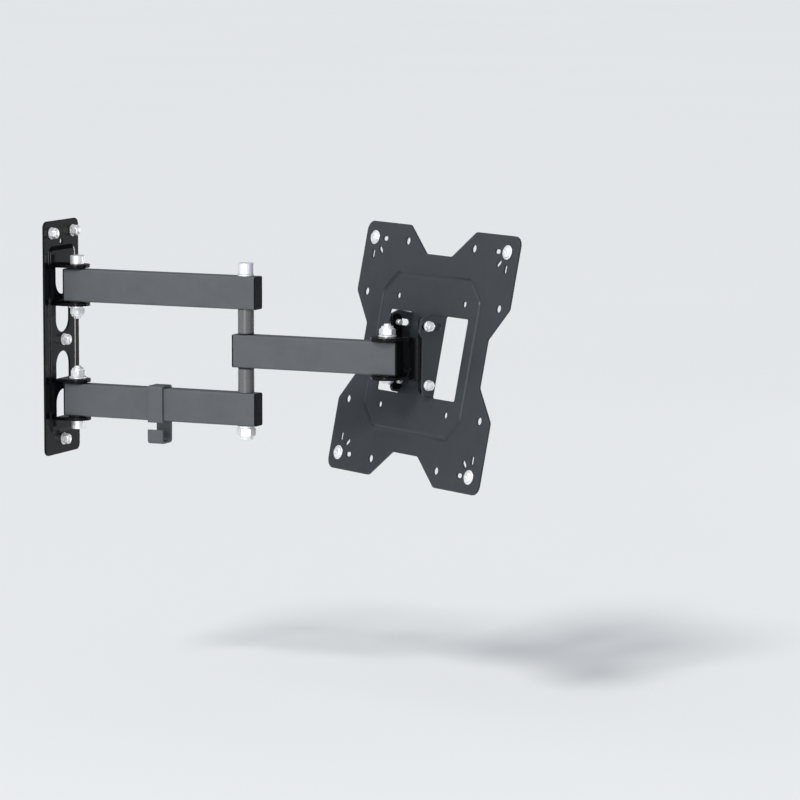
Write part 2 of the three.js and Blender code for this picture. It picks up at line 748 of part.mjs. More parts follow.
function vesaPlate() {
  const { centre, window } = VESA;
  const outline = vesaOutline();
  QUARTERS.forEach(([sx, sz]) => {
    VESA_HOLES.forEach(({ x, z, radius }) => {
      outline.holes.push(roundHole(sx * x, sz * z, radius));
    });
    [0, 45, 90].forEach((turn) => outline.holes.push(raySlot(sx, sz, turn)));
  });
  [-1, 1].forEach((side) => {
    const [a, b] = [side * window.inner, side * window.outer];
    const [x0, x1] = [Math.min(a, b), Math.max(a, b)];
    outline.holes.push(rectangle(x0, x1, -window.half, window.half, 2));
  });
  let made = platePiece(outline, FRONT, BACK).subtract(groove()).translate([0, 0, centre]);
  const ear = BRACKET.half + EAR_GAP;
  [-ear - EAR.thick, ear].forEach((x) => {
    made = made.add(sideways(earShape(), x, x + EAR.thick));
    made = made.subtract(sideways(earSlot(), x - 1, x + EAR.thick + 1));
    made = made.subtract(crossRod(M5.shank + 0.3, x - 1, x + EAR.thick + 1, 0, 0));
  });
  return made;
}

function buildPlate(group) {
  piece(group, "vesa_plate", vesaPlate(), MATERIAL.plate);
  const corner = VESA_HOLES[3];
  [
    { name: "top_left", sx: 1, sz: 1 },
    { name: "top_right", sx: -1, sz: 1 },
    { name: "bottom_left", sx: 1, sz: -1 },
    { name: "bottom_right", sx: -1, sz: -1 },
  ].forEach(({ name, sx, sz }) => {
    // About z the head looks up, so it is turned to look back along +y.
    const place = (made) =>
      made
        .rotate([-90, 0, 0])
        .translate([sx * corner.x, BACK + GAP, VESA.centre + sz * corner.z]);
    piece(group, `screen_screw_${name}`, place(panScrew()), MATERIAL.zinc);
  });
}

// A low cross-recessed screw with a flange. Its shank stops at the plate's screen side.
function panScrew() {
  const tip = VESA.thick;
  const body = turned([
    [0, -tip],
    [M6.shank, -tip],
    [M6.shank, 0],
    [6.4, 0],
    [6.4, 0.9],
    [5.2, 1.2],
    [5, 1.9],
    [4, 2.7],
    [2.2, 3.2],
    [0, 3.3],
  ]);
  const [arm, width] = [2.8, 0.6];
  const cross = box(-arm, arm, -width, width, 1.8, 6).add(box(-width, width, -arm, arm, 1.8, 6));
  return body.subtract(cross);
}

// ---------- assembly ----------

const mount = new THREE.Group();
const rear = new THREE.Group();
const front = new THREE.Group();
const head = new THREE.Group();
const plate = new THREE.Group();

rear.position.y = -SHOULDER;
rear.userData.span = REAR_SPAN;
front.position.y = -REAR_SPAN;
front.userData.span = FRONT_SPAN;
head.position.y = -FRONT_SPAN;
head.rotation.z = THREE.MathUtils.degToRad(SWIVEL);
plate.position.set(0, -TILT_AXIS.out, TILT_AXIS.z);
plate.rotation.x = THREE.MathUtils.degToRad(TILT);

mount.add(rear);
rear.add(front);
front.add(head);
head.add(plate);

buildWall(mount);
buildRearArms(rear);
buildFrontArm(front);
buildHead(head);
buildPlate(plate);

export default mount;
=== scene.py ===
"""A full motion television wall mount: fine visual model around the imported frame.

Lengths in the dimension tables are millimetres; meshes are written in metres, in the row frame.
"""

import json
import math
import bmesh
import bpy
from mathutils import Matrix, Quaternion, Vector
from mathutils.geometry import tessellate_polygon


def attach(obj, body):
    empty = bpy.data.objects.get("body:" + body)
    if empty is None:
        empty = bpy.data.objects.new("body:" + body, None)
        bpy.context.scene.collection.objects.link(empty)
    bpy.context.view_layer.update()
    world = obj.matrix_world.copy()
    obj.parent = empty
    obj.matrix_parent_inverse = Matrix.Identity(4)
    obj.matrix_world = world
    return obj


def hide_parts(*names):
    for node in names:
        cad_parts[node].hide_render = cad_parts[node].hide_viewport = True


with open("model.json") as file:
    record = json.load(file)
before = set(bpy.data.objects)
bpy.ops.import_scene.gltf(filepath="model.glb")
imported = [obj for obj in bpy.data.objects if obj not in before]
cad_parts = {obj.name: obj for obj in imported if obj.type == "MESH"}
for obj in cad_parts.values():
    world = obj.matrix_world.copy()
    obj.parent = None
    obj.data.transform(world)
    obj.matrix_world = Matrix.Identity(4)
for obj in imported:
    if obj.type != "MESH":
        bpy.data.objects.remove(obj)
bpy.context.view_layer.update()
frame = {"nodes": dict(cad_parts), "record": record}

# ---------- dimensions, in millimetres, as in the CAD ----------

MM = 0.001
SHOULDER, REAR_SPAN, FRONT_SPAN = 18.5, 173.5, 140.5
SWIVEL, TILT = math.radians(60), math.radians(12)

TUBE_WIDE, TUBE_TALL, TUBE_WALL, TUBE_CORNER = 15, 30, 1.5, 1.8
REAR_LEVEL = 53
REAR_OVER_WALL, REAR_OVER_ELBOW = 11.5, 12.8
FRONT_OVER_ELBOW, FRONT_OVER_HEAD = 11, 12
CAP_RIM, CAP_GAP = 1.2, 0.2

PLATE = {"half": 32.2, "top": 112.5, "bottom": -104, "thick": 2.2, "corner": 6}
PANEL = {"half": 23.6, "top": 87.2, "bottom": -82.4, "rise": 1, "slope": 4.4, "corner": 6}
HOLLOW = {"inset": 4, "corner": 3, "draft": 0.8}
LUG = {"half": 12, "thick": 3, "bore": 4.3, "slit": 1, "window": 25}
LUG_CLEAR = 1.2
SMALL_HOLE = (0, 92.9, 2.7)
LAG_SPOTS = {
    "top_left": (20, 101.5),
    "top_right": (-20, 101.5),
    "middle": (0, 2),
    "bottom": (0, -90.6),
}

M8 = {"shank": 4, "bore": 4.3, "head": 6.5, "tall": 8, "flats": 13, "nut": 8, "key": 6}
M10 = {"shank": 5, "bore": 5.3, "head": 7.2, "tall": 9.8, "flats": 15, "nut": 11, "key": 8}
M6 = {"shank": 3, "flats": 8.6, "tall": 5, "washer": 5.5, "washer_thick": 1.4}
M5 = {"shank": 2.5, "flats": 8, "tall": 4.6}
TILT_FLANGE = 4.9
# How far the bolts reach past the last sheet or washer that they hold.
SHOULDER_BOLT_REACH, SWIVEL_BOLT_REACH, TILT_BOLT_REACH = 11.8, 9.8, 3.5
NUT_TURN = math.radians(24)
STEEL_RADIUS, STEEL_THICK = 8, 1.6
NYLON_RADIUS, NYLON_THICK = 7.4, 0.8
SPACER_RADIUS = 7.45
TOUCH = 0.2
BORE_PLAY = 0.3

BRACKET = {
    "near": 16, "web": 3.5, "half": 22.5, "wing": 3, "start": 19.4, "end": 30.4,
    "low": -31.5, "top": 37, "tab": 3, "tab_half": 15, "level": 16, "bend": 5,
}
TILT_OUT, TILT_Z, TILT_SPACING = 26.2, -23.8, 53

VESA = {
    "half": 115, "thick": 2.5, "back": 5.9, "centre": 26.4, "corner": 9, "edge": 50,
    "side": (91.5, 21.5), "top": (19.5, 90.5), "window": (25.4, 59.5, 37),
}
EAR = {"gap": 0.4, "thick": 2.5, "tall": 25, "low": 11.8, "slot": 2.9, "from": -1, "to": 16}
GROOVE = {"half": 2.5, "depth": 1.4, "side": 73, "top": 71, "chamfer": 18}
VESA_HOLES = ((50, 50, 2.8), (100, 50, 3.5), (50, 100, 3.5), (100, 100, 3.6))
RAY_REACH, RAY_LENGTH, RAY_WIDTH = 15, 8, 4

CLIP = {"along": 85, "wide": 15.3, "thick": 2.2, "drop": 21, "lip": 13, "hem": 1.5}

# Rounding of edges: thick sheets, thin sheets and caps, windows, small holes and ribs, saw cuts.
THICK_EDGE, THIN_EDGE, WINDOW_EDGE, HOLE_EDGE, CUT_EDGE = 0.5, 0.45, 0.4, 0.3, 0.25
# Faces that meet at more than this angle are shaded with a sharp edge.
SHARP = math.radians(38)

# ---------- where each body stands at rest ----------

WALL_AT = Matrix.Identity(4)
REAR_AT = Matrix.Translation((0, -SHOULDER, 0))
FRONT_AT = REAR_AT @ Matrix.Translation((0, -REAR_SPAN, 0))
HEAD_AT = FRONT_AT @ Matrix.Translation((0, -FRONT_SPAN, 0)) @ Matrix.Rotation(SWIVEL, 4, "Z")
PLATE_AT = (
    HEAD_AT @ Matrix.Translation((0, -TILT_OUT, TILT_Z)) @ Matrix.Rotation(TILT, 4, "X")
)
PLACES = {
    "wall_bracket": WALL_AT,
    "rear_arms": REAR_AT,
    "front_arm": FRONT_AT,
    "swivel_head": HEAD_AT,
    "screen_plate": PLATE_AT,
}

# ---------- materials ----------


class Nodes:
    """A material's node tree, with a short way to add and link nodes."""

    def __init__(self, name):
        self.material = bpy.data.materials.new(name)
        self.material.use_nodes = True
        self.tree = self.material.node_tree
        self.shader = self.tree.nodes["Principled BSDF"]

    def add(self, kind, **values):
        node = self.tree.nodes.new(kind)
        for key, value in values.items():
            setattr(node, key, value)
        return node

    def link(self, out, into):
        self.tree.links.new(out, into)

    def noise(self, scale, detail=2.0, roughness=0.5):
        where = self.add("ShaderNodeTexCoord")
        node = self.add("ShaderNodeTexNoise")
        node.inputs["Scale"].default_value = scale
        node.inputs["Detail"].default_value = detail
        node.inputs["Roughness"].default_value = roughness
        self.link(where.outputs["Object"], node.inputs["Vector"])
        return node.outputs["Fac"]

    def ramp(self, value, low, high):
        """Maps noise around its middle to low..high."""
        node = self.add("ShaderNodeMapRange")
        node.inputs["From Min"].default_value = 0.3
        node.inputs["From Max"].default_value = 0.7
        node.inputs["To Min"].default_value = low
        node.inputs["To Max"].default_value = high
        self.link(value, node.inputs["Value"])
        return node.outputs["Result"]

    def tone(self, value, dark, light):
        """Mixes two colours by noise."""
        node = self.add("ShaderNodeMix", data_type="RGBA")
        slots = [s for s in node.inputs if s.name in ("A", "B") and s.type == "RGBA"]
        slots[0].default_value = (*dark, 1)
        slots[1].default_value = (*light, 1)
        self.link(value, node.inputs[0])
        out = next(s for s in node.outputs if s.type == "RGBA")
        self.link(out, self.shader.inputs["Base Color"])

    def bump(self, value, distance, strength=1.0, under=None):
        node = self.add("ShaderNodeBump")
        node.inputs["Distance"].default_value = distance
        node.inputs["Strength"].default_value = strength
        self.link(value, node.inputs["Height"])
        if under is not None:
            self.link(under, node.inputs["Normal"])
        return node.outputs["Normal"]


def shade(color, factor):
    return tuple(c * factor for c in color)


def powder_coat(name, color, roughness, specular):
    """Baked powder paint: a faint orange peel, fine grain and slow changes of tone."""
    nodes = Nodes(name)
    mottle = nodes.ramp(nodes.noise(55, 4, 0.6), 0.0, 1.0)
    nodes.tone(mottle, shade(color, 0.93), shade(color, 1.08))
    nodes.link(
        nodes.ramp(nodes.noise(650, 3), roughness - 0.05, roughness + 0.06),
        nodes.shader.inputs["Roughness"],
    )
    peel = nodes.bump(nodes.noise(260, 2), 0.00009, 0.5)
    grain = nodes.bump(nodes.noise(1300, 2), 0.00003, 0.8, peel)
    nodes.link(grain, nodes.shader.inputs["Normal"])
    nodes.shader.inputs["Specular IOR Level"].default_value = specular
    return nodes.material


def plated(name, color, roughness, spread):
    """Bright plated steel with faint clouding and machining marks."""
    nodes = Nodes(name)
    cloud = nodes.ramp(nodes.noise(420, 3, 0.6), 0.0, 1.0)
    nodes.tone(cloud, shade(color, 0.9), color)
    nodes.link(
        nodes.ramp(nodes.noise(900, 2), roughness, roughness + spread),
        nodes.shader.inputs["Roughness"],
    )
    nodes.shader.inputs["Metallic"].default_value = 0.6
    nodes.link(nodes.bump(nodes.noise(2600, 2), 0.000004, 0.4), nodes.shader.inputs["Normal"])
    return nodes.material


def moulded(name, color, roughness, specular):
    """Moulded plastic with a fine spark-eroded texture."""
    nodes = Nodes(name)
    nodes.tone(nodes.ramp(nodes.noise(300, 3), 0.0, 1.0), shade(color, 0.85), shade(color, 1.15))
    nodes.link(
        nodes.ramp(nodes.noise(700, 2), roughness - 0.06, roughness + 0.06),
        nodes.shader.inputs["Roughness"],
    )
    nodes.link(nodes.bump(nodes.noise(2200, 2), 0.00003, 0.7), nodes.shader.inputs["Normal"])
    nodes.shader.inputs["Specular IOR Level"].default_value = specular
    return nodes.material


FINISH = {
    "arm_paint": powder_coat("arm_powder_coat", (0.083, 0.089, 0.097), 0.45, 0.3),
    "plate_paint": powder_coat("plate_powder_coat", (0.027, 0.032, 0.038), 0.34, 0.35),
    "wall_paint": powder_coat("wall_gloss_coat", (0.003, 0.0035, 0.004), 0.14, 0.12),
    "zinc": plated("bright_zinc", (0.93, 0.94, 0.955), 0.3, 0.08),
    "spacer": powder_coat("spacer_coat", (0.1, 0.102, 0.105), 0.3, 0.6),
    "nylon": moulded("black_nylon", (0.012, 0.013, 0.014), 0.5, 0.2),
    "end_cap": moulded("cap_plastic", (0.005, 0.006, 0.007), 0.5, 0.12),
}

# ---------- outlines ----------

STEP = math.radians(7)


def arc(cx, cy, radius, start, turn):
    """Points on an arc that turns by the angle turn from the angle start."""
    count = max(3, round(abs(turn) / STEP))
    angles = [start + turn * i / count for i in range(count + 1)]
    return [(cx + radius * math.cos(a), cy + radius * math.sin(a)) for a in angles]


def circle(cx, cy, radius, count=40):
    angles = [2 * math.pi * i / count for i in range(count)]
    return [(cx + radius * math.cos(a), cy + radius * math.sin(a)) for a in angles]


def rounded(corners):
    """A closed outline through (x, y, radius) corners."""
    outline = []
    for i, (x, y, radius) in enumerate(corners):
        here = Vector((x, y))
        if not radius:
            outline.append((x, y))
            continue
        before = (Vector(corners[i - 1][:2]) - here).normalized()
        after = (Vector(corners[(i + 1) % len(corners)][:2]) - here).normalized()
        half = before.angle(after) / 2
        start = here + before * radius / math.tan(half)
        end = here + after * radius / math.tan(half)
        centre = here + (before + after).normalized() * radius / math.sin(half)
        a = math.atan2(start.y - centre.y, start.x - centre.x)
        b = math.atan2(end.y - centre.y, end.x - centre.x)
        turn = (b - a + math.pi) % (2 * math.pi) - math.pi
        outline += arc(centre.x, centre.y, radius, a, turn)
    return outline


def rectangle(x0, x1, y0, y1, radius):
    return rounded([(x0, y0, radius), (x1, y0, radius), (x1, y1, radius), (x0, y1, radius)])


def area(loop):
    pairs = zip(loop, loop[1:] + loop[:1])
    return sum(a[0] * b[1] - b[0] * a[1] for a, b in pairs) / 2


def wound(loop, outer):
    """The loop wound so that the material lies on its left."""
    return loop if (area(loop) > 0) == outer else loop[::-1]


def inset(loop, distance):
    """The loop moved towards its left by a distance."""
    moved = []
    for i, point in enumerate(loop):
        here = Vector(point)
        before = (here - Vector(loop[i - 1])).normalized()
        after = (Vector(loop[(i + 1) % len(loop)]) - here).normalized()
        left = Vector((-before.y - after.y, before.x + after.x)).normalized()
        square = left.dot(Vector((-before.y, before.x)))
        moved.append(tuple(here + left * distance / max(square, 0.3)))
    return moved


# ---------- meshes ----------

AXES = {
    "xy": lambda u, v, w: (u, v, w),
    "xz": lambda u, v, w: (u, w, v),
    "yz": lambda u, v, w: (w, u, v),
}


class Skin:
    """A closed surface that is put together from loops drawn in one plane."""

    def __init__(self, plane):
        self.mesh = bmesh.new()
        self.place = AXES[plane]

    def ring(self, loop, level):
        return [self.mesh.verts.new(self.place(u, v, level)) for u, v in loop]

    def band(self, rings):
        """Side faces through a list of rings of equal length."""
        for low, high in zip(rings, rings[1:]):
            for i in range(len(low)):
                j = (i + 1) % len(low)
                self.mesh.faces.new((low[i], low[j], high[j], high[i]))

    def face(self, rings, loops):
        """A flat face inside the first ring and outside the others."""
        corners = [[Vector((u, v, 0)) for u, v in loop] for loop in loops]
        verts = [vert for ring in rings for vert in ring]
        for triangle in tessellate_polygon(corners):
            self.mesh.faces.new([verts[i] for i in triangle])

    def edge_rings(self, loop, low, high, radius, segments=3):
        """Rings up a wall from level low to level high, with both edges rounded."""
        turns = [math.pi / 2 * k / segments for k in range(segments + 1)]
        path = [(low + radius * (1 - math.cos(t)), radius * (1 - math.sin(t))) for t in turns]
        path += [(high - radius * (1 - math.cos(t)), radius * (1 - math.sin(t))) for t in turns[::-1]]
        return [self.ring(inset(loop, move), level) for level, move in path]

    def done(self):
        bmesh.ops.remove_doubles(self.mesh, verts=self.mesh.verts, dist=1e-5)
        bmesh.ops.recalc_face_normals(self.mesh, faces=self.mesh.faces)
        return self.mesh


def sheet(plane, outline, low, high, holes, edge):
    """A flat part with rounded edges, drawn in a plane and as thick as from low to high."""
    skin = Skin(plane)
    loops = [wound(outline, True)] + [wound(hole, False) for hole in holes]
    walls = [skin.edge_rings(loop, low, high, edge) for loop in loops]
    for rings in walls:
        skin.band(rings)
    ends = [inset(loop, edge) for loop in loops]
    skin.face([rings[0] for rings in walls], ends)
    skin.face([rings[-1] for rings in walls], ends)
    return skin.done()


def hex_radius(angle, flats):
    """Distance from the centre to a hexagon's side at an angle."""
    return flats / 2 / math.cos(((angle + math.pi / 6) % (math.pi / 3)) - math.pi / 6)


def cross_radius(angle, reach, width):
    """Distance from the centre to a cross's edge at an angle."""
    c, s = abs(math.cos(angle)) + 1e-9, abs(math.sin(angle)) + 1e-9
    return max(min(reach / c, width / s), min(reach / s, width / c))


def turned(rings, count=72):
    """A solid about z from rings (radius, z, limit); limit is a function of the angle, or None."""
    mesh = bmesh.new()
    angles = [2 * math.pi * i / count for i in range(count)]
    made = []
    for radius, z, limit in rings:
        if radius == 0:
            made.append([mesh.verts.new((0, 0, z))])
            continue
        loop = []
        for a in angles:
            r = min(radius, limit(a)) if limit else radius
            loop.append(mesh.verts.new((r * math.cos(a), r * math.sin(a), z)))
        made.append(loop)
    closed = made if len(made[0]) == 1 else made + [made[0]]
    for low, high in zip(closed, closed[1:]):
        for i in range(count):
            j = (i + 1) % count
            corners = [low[i % len(low)], low[j % len(low)], high[j % len(high)], high[i % len(high)]]
            mesh.faces.new(list(dict.fromkeys(corners)))
    bmesh.ops.recalc_face_normals(mesh, faces=mesh.faces)
    return mesh


def merged(parts):
    """The union of several closed meshes, as one closed mesh."""
    scene = bpy.context.scene
    objects = []
    for part in parts:
        data = bpy.data.meshes.new("part")
        part.to_mesh(data)
        part.free()
        objects.append(bpy.data.objects.new("part", data))
        scene.collection.objects.link(objects[-1])
    first = objects[0]
    for other in objects[1:]:
        join = first.modifiers.new("join", "BOOLEAN")
        join.operation = "UNION"
        join.solver = "EXACT"
        join.object = other
    ready = first.evaluated_get(bpy.context.evaluated_depsgraph_get())
    result = bmesh.new()
    result.from_mesh(ready.to_mesh())
    for item in objects:
        data = item.data
        bpy.data.objects.remove(item)
        bpy.data.meshes.remove(data)
    bmesh.ops.remove_doubles(result, verts=result.verts, dist=1e-4)
    return result


def moved(mesh, matrix):
    mesh.transform(matrix)
    return mesh


def show(name, mesh, body, finish, nodes):
    """Writes a mesh in metres as a piece that rides on a body in place of CAD nodes."""
    mesh.transform(Matrix.Scale(MM, 4) @ PLACES[body])
    data = bpy.data.meshes.new(name)
    mesh.to_mesh(data)
    mesh.free()
    data.materials.append(FINISH[finish])
    data.polygons.foreach_set("use_smooth", [True] * len(data.polygons))
    data.set_sharp_from_angle(angle=SHARP)
    piece = bpy.data.objects.new(name, data)
    bpy.context.scene.collection.objects.link(piece)
    normals = piece.modifiers.new("normals", "WEIGHTED_NORMAL")
    normals.keep_sharp = True
    normals.weight = 60
    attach(piece, body)
    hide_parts(*nodes)


# ---------- fasteners, about z ----------

UPSIDE_DOWN = Matrix.Rotation(math.pi, 4, "X")


def lift(z):
    return Matrix.Translation((0, 0, z))


def washer(radius, bore, z, thick):
    edge = min(0.25, thick / 4)
    return turned([
        (bore, z, None), (radius - edge, z, None), (radius, z + edge, None),
        (radius, z + thick - edge, None), (radius - edge, z + thick, None), (bore, z + thick, None),
    ])


def thread(radius, start, end, pitch=1.25, depth=0.45):
    """Rings of a threaded stretch from z = start down to z = end."""
    rings = []
    count = max(1, int((start - end) / pitch))
    for i in range(count):
        top = start - i * pitch
        rings += [(radius, top - 0.15 * pitch, None), (radius - depth, top - 0.6 * pitch, None)]
    return rings


def cap_bolt(size, length):
    """A socket cap bolt: knurled head from z = 0 up, shank down to -length."""
    head, height, shank, key = (size[name] for name in ("head", "tall", "shank", "key"))
    knurl = lambda a: head - 0.1 * abs(math.sin(18 * a))
    socket = lambda a: hex_radius(a, key)
    corner = key / math.sqrt(3)
    rings = [(head - 0.3, 0, None), (head, 0.3, knurl), (head, height - 0.9, knurl)]
    rings += [(head - 0.25, height - 0.35, None), (head - 0.8, height, None)]
    rings += [(corner + 0.6, height, None), (corner + 0.1, height - 0.35, socket)]
    rings += [(corner + 0.1, height / 2, socket), (0, height / 2 - 0.6, None)]
    rod = [(0, -length, None), (shank - 0.9, -length, None)]
    rod += thread(shank, 11 - length, 0.6 - length)[::-1]
    rod += [(shank, 12 - length, None), (shank, 0, None)]
    return turned(rod + rings, 144)


def button_bolt(length):
    """A low round head from z = 0 down, with a shank up to length."""
    socket = lambda a: hex_radius(a, 5)
    head = [(0, -2, None), (3, -2.2, socket), (3, -3.9, socket), (3.4, -4, None)]
    radius, shank = M8["head"], M8["shank"]
    head += [(radius * math.cos(t), -4 * math.sin(t) ** 1.2, None) for t in
             [math.radians(d) for d in (57, 48, 40, 32, 24, 16, 8)]]
    head += [(radius, -0.25, None), (radius - 0.1, 0, None)]
    rod = [(shank, 0, None), (shank, length - 12, None)]
    rod += [(r, -z, None) for r, z, _ in thread(shank, 11.5 - length, 0.6 - length)]
    return turned(head + rod + [(shank - 0.9, length, None), (0, length, None)])


def lock_nut(size):
    """A locking nut with its seat at z = 0 and its round collar on top."""
    flats, height, bore = size["flats"], size["nut"], size["bore"]
    side = lambda a: hex_radius(a, flats)
    corner = flats / math.sqrt(3)
    top = height * 0.72
    return turned([
        (bore + 0.4, 0, None), (flats / 2 - 0.1, 0, None), (flats / 2 + 0.35, 0.3, side),
        (corner, 0.9, side), (corner, top - 1.0, side), (flats / 2 + 0.35, top - 0.35, side),
        (flats / 2 - 0.2, top, None), (flats * 0.43, top + 0.15, None),
        (flats * 0.425, height - 0.9, None), (flats * 0.4, height - 0.3, None),
        (flats * 0.35, height, None), (bore, height, None),
    ])


def hex_bolt(size, length, flange=0.0):
    """A hexagon head from z = 0 up, on a flange if it has a radius, shank down to -length."""
    height, shank, half = size["tall"], size["shank"], size["flats"] / 2
    side = lambda a: hex_radius(a, size["flats"])
    corner = size["flats"] / math.sqrt(3)
    base = [(flange - 0.2, 0, None), (flange, 0.3, None), (flange, 0.7, None),
            (corner + 0.1, 1.4, None)] if flange else [(corner, 0.1, side)]
    foot = 1.5 if flange else 0.3
    return turned([
        (0, -length, None), (shank - 0.5, -length, None), (shank, -length + 0.5, None),
        (shank, 0, None), *base, (corner, foot, side), (corner, height - 1.0, side),
        (half + 0.25, height - 0.3, side), (half - 0.4, height, None),
        (half - 1.3, height, None), (half - 1.8, height - 0.25, None),
        (0, height - 0.3, None),
    ])


def pan_screw():
    """A cross-recessed screw with a washer face. Its shank stops at the plate's screen side."""
    tip = VESA["thick"]
    recess = lambda a: cross_radius(a, 2.6, 0.6)
    return turned([
        (0, -tip, None), (M6["shank"], -tip, None), (M6["shank"], 0, None), (6.2, 0, None),
        (6.4, 0.2, None), (6.4, 0.7, None), (6.1, 0.95, None), (5.3, 1.0, None),
        (5.2, 1.2, None), (5.0, 1.8, None), (4.5, 2.4, None), (3.8, 2.8, None),
        (3.1, 3.05, None), (2.7, 3.15, None), (2.5, 3.2, recess), (2.3, 1.9, recess), (0, 1.7, None),
    ], 96)


# ---------- wall plate ----------

LUGS = [
    (side, side * REAR_LEVEL + face * (TUBE_TALL / 2 + LUG_CLEAR + LUG["thick"] / 2))
    for side in (1, -1)
    for face in (1, -1)
]


def lug_window(side, z):
    """The opening that a lug leaves: straight at the lug and round at its other end."""
    half = LUG["half"] + LUG["slit"]
    start = z - side * LUG["thick"] / 2
    end = start - side * LUG["window"]
    near = half - 0.5
    return rounded([(-half, start, 0.4), (half, start, 0.4), (half, end, near), (-half, end, near)])


def pressed_plate():
    """The plate with its raised panel, its hollow back and its windows, as one skin."""
    skin = Skin("xz")
    face, proud = -PLATE["thick"], -PLATE["thick"] - PANEL["rise"]
    outline = wound(
        rectangle(-PLATE["half"], PLATE["half"], PLATE["bottom"], PLATE["top"], PLATE["corner"]), True
    )
    rim = skin.edge_rings(outline, face, 0, THICK_EDGE)
    skin.band(rim)
    rim_end = inset(outline, THICK_EDGE)
    panel = wound(
        rectangle(-PANEL["half"], PANEL["half"], PANEL["bottom"], PANEL["top"], PANEL["corner"]), True
    )
    # The slope is an s-curve: it leaves the rim and meets the panel smoothly.
    steps = [k / 8 for k in range(9)]
    rise = [(t * t * (3 - 2 * t), (t - 0.5) * PANEL["slope"]) for t in steps]
    slope = [skin.ring(inset(panel, move), face - PANEL["rise"] * h) for h, move in rise]
    skin.band(slope)
    foot, crown = inset(panel, rise[0][1]), inset(panel, rise[-1][1])
    half = PANEL["half"] - PANEL["slope"]
    low, high = PANEL["bottom"] + HOLLOW["inset"], PANEL["top"] - HOLLOW["inset"]
    hollow = wound(rectangle(-half, half, low, high, HOLLOW["corner"]), True)
    hollow_end = inset(hollow, HOLLOW["draft"])
    mouth = [skin.ring(hollow, 0), skin.ring(hollow_end, -PANEL["rise"])]
    skin.band(mouth)
    windows = [wound(lug_window(side, z), False) for side, z in LUGS]
    walls = [skin.edge_rings(loop, proud, -PANEL["rise"], WINDOW_EDGE) for loop in windows]
    for rings in walls:
        skin.band(rings)
    ends = [inset(loop, WINDOW_EDGE) for loop in windows]
    small = wound(circle(*SMALL_HOLE, 28), False)
    small_wall = skin.edge_rings(small, face, 0, HOLE_EDGE)
    skin.band(small_wall)
    small_end = inset(small, HOLE_EDGE)
    skin.face([rim[0], slope[0], small_wall[0]], [rim_end, foot, small_end])
    skin.face([slope[-1], *[rings[0] for rings in walls]], [crown, *ends])
    skin.face([rim[-1], mouth[0], small_wall[-1]], [rim_end, hollow, small_end])
    skin.face([mouth[1], *[rings[-1] for rings in walls]], [hollow_end, *ends])
    return skin.done()


def lug_sheet(z):
    """One lug: a flat tongue with a round end about the shoulder bolt."""
    half = LUG["half"]
    outline = [(-half, -2.0)] + arc(0, -SHOULDER, half, math.pi, math.pi) + [(half, -2.0)]
    bore = circle(0, -SHOULDER, LUG["bore"])
    low, high = z - LUG["thick"] / 2, z + LUG["thick"] / 2
    return sheet("xy", outline, low, high, [bore], THICK_EDGE)


def build_wall():
    parts = [pressed_plate()] + [lug_sheet(z) for _, z in LUGS]
    show("wall_plate_pressing", merged(parts), "wall_bracket", "wall_paint", ["wall_plate"])
    outwards = Matrix.Rotation(math.pi / 2, 4, "X")
    under = M6["washer_thick"]
    for name, (x, z) in LAG_SPOTS.items():
        on_panel = PANEL["bottom"] < z < PANEL["top"]
        face = PLATE["thick"] + (PANEL["rise"] if on_panel else 0) + TOUCH
        place = Matrix.Translation((x, -face, z)) @ outwards
        disc = moved(washer(M6["washer"], M6["shank"] + BORE_PLAY, 0, under), place)
        show(f"wall_washer_{name}", disc, "wall_bracket", "zinc", [f"lag_washer_{name}"])
        screw = moved(hex_bolt(M6, face + under), place @ lift(under + TOUCH))
        show(f"wall_screw_{name}", screw, "wall_bracket", "zinc", [f"lag_screw_{name}"])
    reach = TUBE_TALL / 2 + LUG_CLEAR + LUG["thick"]
    seat, end = reach + TOUCH, reach + SHOULDER_BOLT_REACH
    for name, side in (("upper", 1), ("lower", -1)):
        flip = Matrix.Identity(4) if side > 0 else UPSIDE_DOWN
        place = Matrix.Translation((0, -SHOULDER, side * REAR_LEVEL)) @ flip
        bolt = moved(cap_bolt(M8, seat + end), place @ lift(seat))
        disc = moved(washer(STEEL_RADIUS, M8["bore"], -seat - STEEL_THICK, STEEL_THICK), place)
        nut = moved(lock_nut(M8), place @ lift(-seat - STEEL_THICK - TOUCH) @ UPSIDE_DOWN)
        for label, mesh in (("bolt", bolt), ("washer", disc), ("nut", nut)):
            node = f"{name}_shoulder_{label}"
            show(f"{node}_fine", mesh, "wall_bracket", "zinc", [node])


# ---------- arms ----------


def tube_outline(grow=0.0):
    x, z = TUBE_WIDE / 2 + grow, TUBE_TALL / 2 + grow
    return rectangle(-x, x, -z, z, TUBE_CORNER + grow)


def build_arm(body, name, level, span, first, last):
    """A tube with a cap at each end; first and last are (label, overhang) of the two ends."""
    start = first[1] - CAP_RIM - CAP_GAP
    end = -span - last[1] + CAP_RIM + CAP_GAP
    tube = sheet("xz", tube_outline(), end, start, [tube_outline(-TUBE_WALL)], CUT_EDGE)
    show(f"{name}_section", moved(tube, lift(level)), body, "arm_paint", [f"{name}_tube"])
    for label, y, side in ((first[0], start, 1), (last[0], end, -1)):
        low, high = sorted((y + side * CAP_GAP, y + side * (CAP_GAP + CAP_RIM)))
        cap = sheet("xz", tube_outline(-0.05), low, high, (), THIN_EDGE)
        node = f"{name}_{label}_cap"
        show(f"{node}_fine", moved(cap, lift(level)), body, "end_cap", [node])


